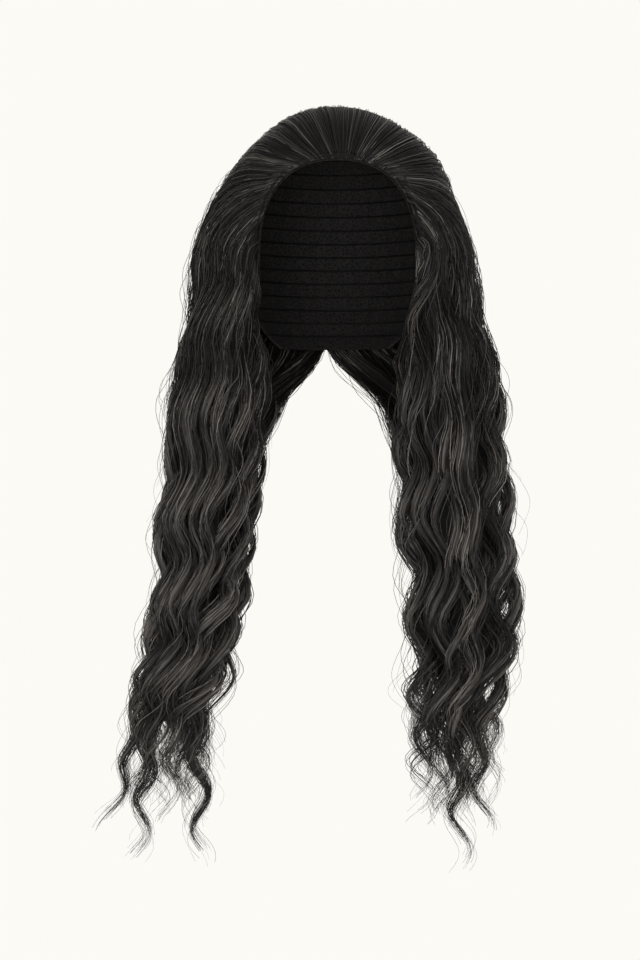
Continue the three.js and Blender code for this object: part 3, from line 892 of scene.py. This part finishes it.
def lock_rows(locks, lock, stray):
    """Rows for hairs of these locks. stray 0 keeps to the lock's own line, 1 lets each hair depart."""
    count = len(lock)
    own = {key: values[lock] for key, values in locks.items()}
    ring = own["ring"] + stray * about(count, RING_STRAY)
    is_outer = own["layer"] > OUTER_LAYERS[0]
    on_line = is_outer & (rng.random(count) < HAIRLINE_SHARE)
    behind = np.where(is_outer, spread(count, *OUTER_ROOTS), spread(count, *INNER_ROOTS))
    return hair_rows(
        np.clip(ring, 0, 1),
        lock_ring=own["ring"],
        layer=np.clip(own["layer"] + stray * about(count, LAYER_STRAY), *LAYER_LIMITS),
        end_layer=np.clip(own["end_layer"] + stray * about(count, END_LAYER_STRAY), *END_LAYER_LIMITS),
        sunk=blend(LOCK_SUNK, 1, stray),
        root=np.where(on_line, 0, behind),
        start=(1 - stray) * spread(count, *LOCK_STARTS),
        tip=own["tip"] + blend(LOCK_SHORT, STRAND_SHORT * rng.random(count) ** 2, stray),
        phase=own["phase"] + stray * rng.normal(0, PHASE_STRAY, count),
        sway=own["sway"] * (1 + stray * about(count, SWAY_STRAY)),
        pace=own["pace"] * (1 + stray * about(count, PACE_STRAY)),
        curl=own["curl"],
        offset=np.clip(own["offset"] + stray * rng.normal(0, OFFSET_STRAY, (count, 2)), *OFFSET_LIMITS),
        clump=1 - stray * spread(count, *CLUMPING),
        frizz=LEAST_FRIZZ + stray * MORE_FRIZZ * rng.random(count) ** FRIZZ_RARITY,
        rate=spread(count, 0.7, 1.4),
        seed=any_turn((count, 6)),
    )


# %% Greys of the strands
BRIGHT_SHARE, BRIGHT_GAIN = 0.15, 0.35  # a few strands are much lighter
TONE_SCATTER = 0.16
# painted shade by height: strands are darker on the head and towards the ends, and a little lighter
# mid-fall
PAINTED_SHADE_DROPS = [0, 150, 260, 420, 580]
PAINTED_SHADES = [-0.08, -0.1, 0.03, -0.04, -0.08]
CREST_DROPS = (60, 160)
CREST_PAINTED_LIGHT = 0.13  # painted light on a wave's crest and painted shade in its trough
# the same painted light and shade, weaker, on the lock bodies
LOCK_CREST_PAINTED_LIGHT = 0.06


def crests(side, hair, paths):
    """1 where a hair's wave carries it out of the fall, -1 where it carries it in, 0 on the crown."""
    z = paths[..., 2]
    turn = wave_turn(z, hair)
    facing = np.interp(hair["ring"], RING_STOPS, RING_ANGLES)[:, None]
    outward = side * np.sin(turn) * np.cos(facing) + np.cos(turn) * np.sin(facing)
    return outward * ease(-z, *CREST_DROPS)


def strand_tones(base, side, hair, paths):
    """A grey for each strand, with painted shade on the head and towards the ends, and painted light on its
    crests.
    """
    count = len(paths)
    bright = BRIGHT_GAIN * (rng.random(count) < BRIGHT_SHARE)
    tones = np.clip(base + rng.normal(0, TONE_SCATTER, count) + bright, 0, 1)
    # painted shade, by height
    shades = np.interp(-paths[..., 2], PAINTED_SHADE_DROPS, PAINTED_SHADES)
    # painted light on the crests of the waves and painted shade in their troughs
    return tones[:, None] + shades + CREST_PAINTED_LIGHT * crests(side, hair, paths)


# %% Grow the falls
LOCK_STATIONS, LOCK_SIDES = 54, 5
LOCK_THICK, LOCK_SIZES = 2.1, (0.7, 1.3)  # radius, and how it varies
LOCK_TIP, LOCK_TAPER_FROM = 0.12, 0.45
STRAND_STATIONS, STRAND_SIDES = 58, 3
STRAND_THICK, STRAND_SIZES, STRAND_TIP = 0.32, (0.6, 1.3), 0.3
STRANDS_PER_LOCK = 15
FRONT_RING = 0.53  # hair before this place on the ring belongs to the front section


def grow_strands(
    name, side, hair, base, stations, thick=STRAND_THICK, sizes=STRAND_SIZES, tip_share=STRAND_TIP
):
    """One piece of strands, from their rows and the grey they start from."""
    paths = evened(hair_paths(side, hair, *DENSE), stations)
    radii = tapered(thick * spread(len(paths), *sizes), stations, tip_share)
    tones = strand_tones(base, side, hair, paths)
    tubes(name, paths, radii, STRAND_SIDES, tones, STRAND_FIBRE)


def grow_fall(name, side, is_front):
    locks = LOCKS[side]
    picked = np.nonzero((locks["ring"] < FRONT_RING) == is_front)[0]
    hair = lock_rows(locks, picked, 0)
    paths = evened(hair_paths(side, hair, 0, DENSE[1]), LOCK_STATIONS)
    thick = LOCK_THICK * spread(len(picked), *LOCK_SIZES)
    radii = tapered(thick, LOCK_STATIONS, LOCK_TIP, LOCK_TAPER_FROM)
    # painted light on the crests of the lock's waves and painted shade in their troughs
    tones = LOCK_CREST_PAINTED_LIGHT * crests(side, hair, paths)
    tubes(f"{name}_locks", paths, radii, LOCK_SIDES, tones, LOCK_FIBRE)
    lock = np.repeat(picked, STRANDS_PER_LOCK)
    grow_strands(
        f"{name}_strands", side, lock_rows(locks, lock, 1), locks["tone"][lock], STRAND_STATIONS
    )


for name, side in SIDES.items():
    grow_fall(f"{name}_front", side, True)
    grow_fall(f"{name}_back", side, False)

# %% [markdown]
# ## Strands on the crown
# On the head the hair lies combed and nearly straight, so these shorter strands need few points. Half of
# them start at the hairline and half at rows of weft further back. They end below the ears, among the
# strands of the falls. The underside of the back hair shows below the cap, so a second set hangs there from
# the lowest rows of weft.

# %% Grow the crown
CROWN_STRANDS, CROWN_STATIONS = 420, 26
CROWN_STRAY = 4  # strands are even along the ring, give or take this many places
CROWN_LINE_SHARE = 0.5  # this many start at the hairline
# the crown strands start from a darker grey than the falls: painted shade on the top of the head
CROWN_TONE, CROWN_TONE_SWING, CROWN_TONE_BANDS = 0.36, 0.08, 60  # lighter and darker bands
NAPE_STRANDS, NAPE_STATIONS = 300, 24
NAPE_EDGE_SHARE = 0.35  # this many lie along the edge of the back hair
NAPE_SIZES = (0.7, 1.5)
NAPE_TONE = 0.4


def grow_crown(name, side):
    count = CROWN_STRANDS
    ring = np.clip((np.arange(count) + about(count, CROWN_STRAY)) / count, 0, 1)
    root = np.where(rng.random(count) < CROWN_LINE_SHARE, 0.0, spread(count, 0.03, 0.55))
    hair = hair_rows(
        ring,
        root=root,
        **draw(count, layer=(0.84, 1.07), end_layer=(0.8, 1.0), tip=(-300, -190)),
        **draw(count, frizz=(0.3, 1.6), rate=(0.5, 1.0)),
        seed=any_turn((count, 6)),
        **sheet_wave(side, ring, 0.5),
    )
    # painted shade: a grey below that of the falls, with lighter and darker bands across the crown
    base = CROWN_TONE + CROWN_TONE_SWING * np.sin(CROWN_TONE_BANDS * ring)
    grow_strands(name, side, hair, base, CROWN_STATIONS)


def grow_nape(name, side):
    count = NAPE_STRANDS
    on_edge = rng.random(count) < NAPE_EDGE_SHARE
    ring = np.where(on_edge, spread(count, 0.965, 1.0), spread(count, 0.62, 1.0))
    hair = hair_rows(
        ring,
        layer=np.where(on_edge, spread(count, 0.15, 0.95), spread(count, 0.08, 0.19)),
        **draw(count, end_layer=(0.15, 0.4), root=(0.8, 1.0), tip=(-400, -280), frizz=(0.3, 1.6)),
        seed=any_turn((count, 6)),
        **sheet_wave(side, ring, 0.4),
    )
    grow_strands(name, side, hair, NAPE_TONE, NAPE_STATIONS, sizes=NAPE_SIZES)


for name, side in SIDES.items():
    grow_crown(f"{name}_crown_strands", side)
    grow_nape(f"{name}_nape_strands", side)

# %% [markdown]
# ## Loose hairs
# A few fine hairs stand off the outline, and they are what makes an edge look like hair. They take the same
# way as the others, a little outside them, with more wander.

# %% Grow the loose hairs
LOOSE_HAIRS, LOOSE_STATIONS = 84, 58
LOOSE_THICK, LOOSE_SIZES, LOOSE_TIP = 0.2, (0.7, 1.2), 0.4
LOOSE_TONE = 0.42


def grow_loose(name, side):
    count = LOOSE_HAIRS
    hair = hair_rows(
        spread(count, 0.02, 0.98),
        **draw(count, layer=(1.0, 1.2), end_layer=(1.0, 1.15), root=(0.0, 0.8), tip=(-560, -220)),
        **draw(count, phase=(0, math.tau), sway=(0.6, 1.2), frizz=(1.0, 3.4), rate=(0.6, 1.6)),
        seed=any_turn((count, 6)),
    )
    grow_strands(name, side, hair, LOOSE_TONE, LOOSE_STATIONS, LOOSE_THICK, LOOSE_SIZES, LOOSE_TIP)


for name, side in SIDES.items():
    grow_loose(f"{name}_loose_hairs", side)

# %% [markdown]
# ## The cap and its welt
# The inside of the cap shows through the open face: a dark stretch net, with the hair sewn to it in rows of
# weft. Along the face runs a narrow welt, a rolled strip that the front hair is knotted on. The knots show
# as small beads.

# %% Cap net
NET_CELL = 3.0  # real net has holes of 1 to 2 mm: drawn coarser so that it shows
NET_GREYS = [(0.05, "#1f1d1d"), (0.2, "#0d0c0c")]


def cap_net():
    # knitted net: dull, nearly black, with a faint mesh
    material, tree, surface = new_material("dark_stretch_net", roughness=0.85, ior=1.5, specular=0.2)
    place = add_node(tree, "ShaderNodeTexCoord")
    knit = {"Vector": place.outputs["Object"], "Scale": 1 / (NET_CELL * MM)}
    cells = add_node(tree, "ShaderNodeTexVoronoi", {"feature": "DISTANCE_TO_EDGE"}, knit)
    grey = ramp_colour(tree, cells.outputs["Distance"], NET_GREYS)
    tree.links.new(grey, surface.inputs["Base Color"])
    return material


cap_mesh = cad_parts["cap"].data
cap_mesh.materials.clear()
cap_mesh.materials.append(cap_net())
print("Cap dressed in net")

# %% Rows of weft inside the cap
WEFT_STEP = 11.0
WEFT_TOP, WEFT_BOTTOM = -24.0, -168.0
WEFT_THICK = 0.9
WEFT_STATIONS, WEFT_SIDES = 90, 5
STITCH, STITCH_SWELL = 4.0, 0.15  # the machine stitch shows as a slight swelling
EAR_EDGE, NAPE_EDGE = -112.0, -178.0  # the cap's lower edge rises from the nape to the ears
WEFT_AT_EARS, WEFT_AT_NAPE = -8.0, 49.0  # depths that the rows reach forward to


def weft_path(z):
    level = (z - HEAD_CENTRE[2]) / HEAD[2]
    room = HEAD[:2] * math.sqrt(1 - level**2) - WEFT_THICK
    edge = np.interp(-z, [-EAR_EDGE, -NAPE_EDGE], [WEFT_AT_EARS, WEFT_AT_NAPE])
    reach = math.acos(edge / room[1])
    turn = np.linspace(-reach, reach, WEFT_STATIONS)
    return np.stack([room[0] * np.sin(turn), room[1] * np.cos(turn), np.full(WEFT_STATIONS, z)], axis=-1)


paths = np.stack([weft_path(z) for z in np.arange(WEFT_TOP, WEFT_BOTTOM, -WEFT_STEP)])
swell = np.sin(math.tau * run_along(paths) / STITCH)
radii = WEFT_THICK * (1 - STITCH_SWELL + STITCH_SWELL * swell)
wefts = tubes("weft_rows", paths, radii, WEFT_SIDES, np.zeros(radii.shape), CORE_FIBRE)

# %% Welt with knots
WELT_STATIONS, WELT_SIDES = 260, 8
WELT_ENDS = -0.16  # the welt runs a little below the spring of the arch
WELT_LIFT = 3.4  # the middle of the welt above the head
WELT_HALF_WIDTH = 1.6
WELT_FLAT = 0.55
KNOT_STEP = 3.2
KNOT_RISE = 0.22


def make_welt():
    share = np.linspace(WELT_ENDS, 1, WELT_STATIONS // 2)
    left = hairline_direction(-1, share, BAND_WIDTH / 2)
    right = hairline_direction(1, share, BAND_WIDTH / 2)
    direction = np.concatenate([left, right[-2::-1]])
    normal = unit(direction / HEAD)
    path = direction * HEAD + HEAD_CENTRE + normal * WELT_LIFT
    run = run_along(path[None])[0]
    knots = np.maximum(0, np.sin(math.tau * run / KNOT_STEP))
    ahead = unit(np.gradient(path, axis=0))
    wide = np.cross(normal, ahead)
    turn = math.tau * np.arange(WELT_SIDES) / WELT_SIDES
    size = (WELT_HALF_WIDTH * (1 + KNOT_RISE * knots))[:, None, None]
    ring = np.cos(turn)[:, None] * normal[:, None, :] * WELT_FLAT - np.sin(turn)[:, None] * wide[:, None, :]
    points = (path[:, None, :] + size * ring).reshape(-1, 3)
    faces = tube_faces(1, len(path), WELT_SIDES)
    girth = np.arange(len(points)) % WELT_SIDES
    maps = np.stack([girth, np.repeat(run, WELT_SIDES)], axis=-1)
    corners = np.concatenate([group.ravel() for group in faces])
    return mesh_object("front_welt", points, faces, maps[corners], np.zeros(len(points)), CORE_FIBRE)


welt = make_welt()
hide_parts("front_band")

# %% [markdown]
# ## Studio
# The wig stands against white, in soft light from all round, with three softboxes that put a sheen on the
# waves. The floor glows as bright as the white around it, so that no edge shows. The camera is level with
# the middle of the wig.

# %% Camera
PHOTO_WIDTH, PHOTO_HEIGHT = 640, 960
MM_PER_PIXEL = 0.8
CROWN_PIXEL = (335, 124)  # where the inside of the cap's crown lies in the photograph
CAMERA_DISTANCE = 2.6
SENSOR = 36.0

camera = add_object("camera", bpy.data.cameras.new("camera"))
camera.data.sensor_fit = "VERTICAL"
camera.data.sensor_height = SENSOR
camera.data.lens = SENSOR * CAMERA_DISTANCE / (PHOTO_HEIGHT * MM_PER_PIXEL * MM)
middle_x = (PHOTO_WIDTH / 2 - CROWN_PIXEL[0]) * MM_PER_PIXEL * MM
middle_z = (CROWN_PIXEL[1] - PHOTO_HEIGHT / 2) * MM_PER_PIXEL * MM
camera.location = (middle_x, -CAMERA_DISTANCE, middle_z)
camera.rotation_euler = (math.pi / 2, 0, 0)
bpy.context.scene.camera = camera
print("Camera lens:", round(camera.data.lens, 1), "mm")

# %% Floor and lights
FLOOR, FLOOR_HALF = -1.5, 14.0  # height and half width, in metres
FLOOR_PALENESS = 0.03  # what it gives back of the light: its white is mostly its own
WHITE = srgb("#fcfaf5")
SOFTBOXES = [  # name, place, aim and width in metres, power in watts
    ("softbox_left", (-1.9, -1.3, 0.1), (0, 0, -0.28), 1.3, 8),
    ("softbox_right", (1.9, -1.3, 0.1), (0, 0, -0.28), 1.3, 8),
    ("softbox_front", (-0.3, -2.9, -0.3), (0, -0.1, -0.42), 1.2, 34),
]


def make_floor():
    mesh = bpy.data.meshes.new("studio_floor")
    corners = [(-1, -1), (1, -1), (1, 1), (-1, 1)]
    points = [(x * FLOOR_HALF, y * FLOOR_HALF, FLOOR) for x, y in corners]
    mesh.from_pydata(points, [], [(0, 1, 2, 3)])
    made = add_object("studio_floor", mesh)
    # a white panel lit from below, as bright as the white around it, so that no edge shows
    material, _, surface = new_material("lit_white_panel", roughness=0.9, ior=1.5, specular=0.0)
    surface.inputs["Base Color"].default_value = (FLOOR_PALENESS, FLOOR_PALENESS, FLOOR_PALENESS, 1)
    surface.inputs["Emission Color"].default_value = WHITE
    surface.inputs["Emission Strength"].default_value = 1 - FLOOR_PALENESS
    mesh.materials.append(material)


def add_light(name, place, aim, size, power):
    data = bpy.data.lights.new(name, "AREA")
    data.shape = "DISK"
    data.size = size
    data.energy = power
    lamp = add_object(name, data)
    lamp.visible_camera = False
    lamp.location = place
    heading = Vector(aim) - Vector(place)
    lamp.rotation_euler = heading.to_track_quat("-Z", "Y").to_euler()


make_floor()
for softbox in SOFTBOXES:
    add_light(*softbox)
world = bpy.data.worlds.new("studio_white")
bpy.context.scene.world = world
world.use_nodes = True
background = world.node_tree.nodes["Background"]
background.inputs["Color"].default_value = WHITE
background.inputs["Strength"].default_value = 1.0
bpy.context.scene.view_settings.view_transform = "Standard"
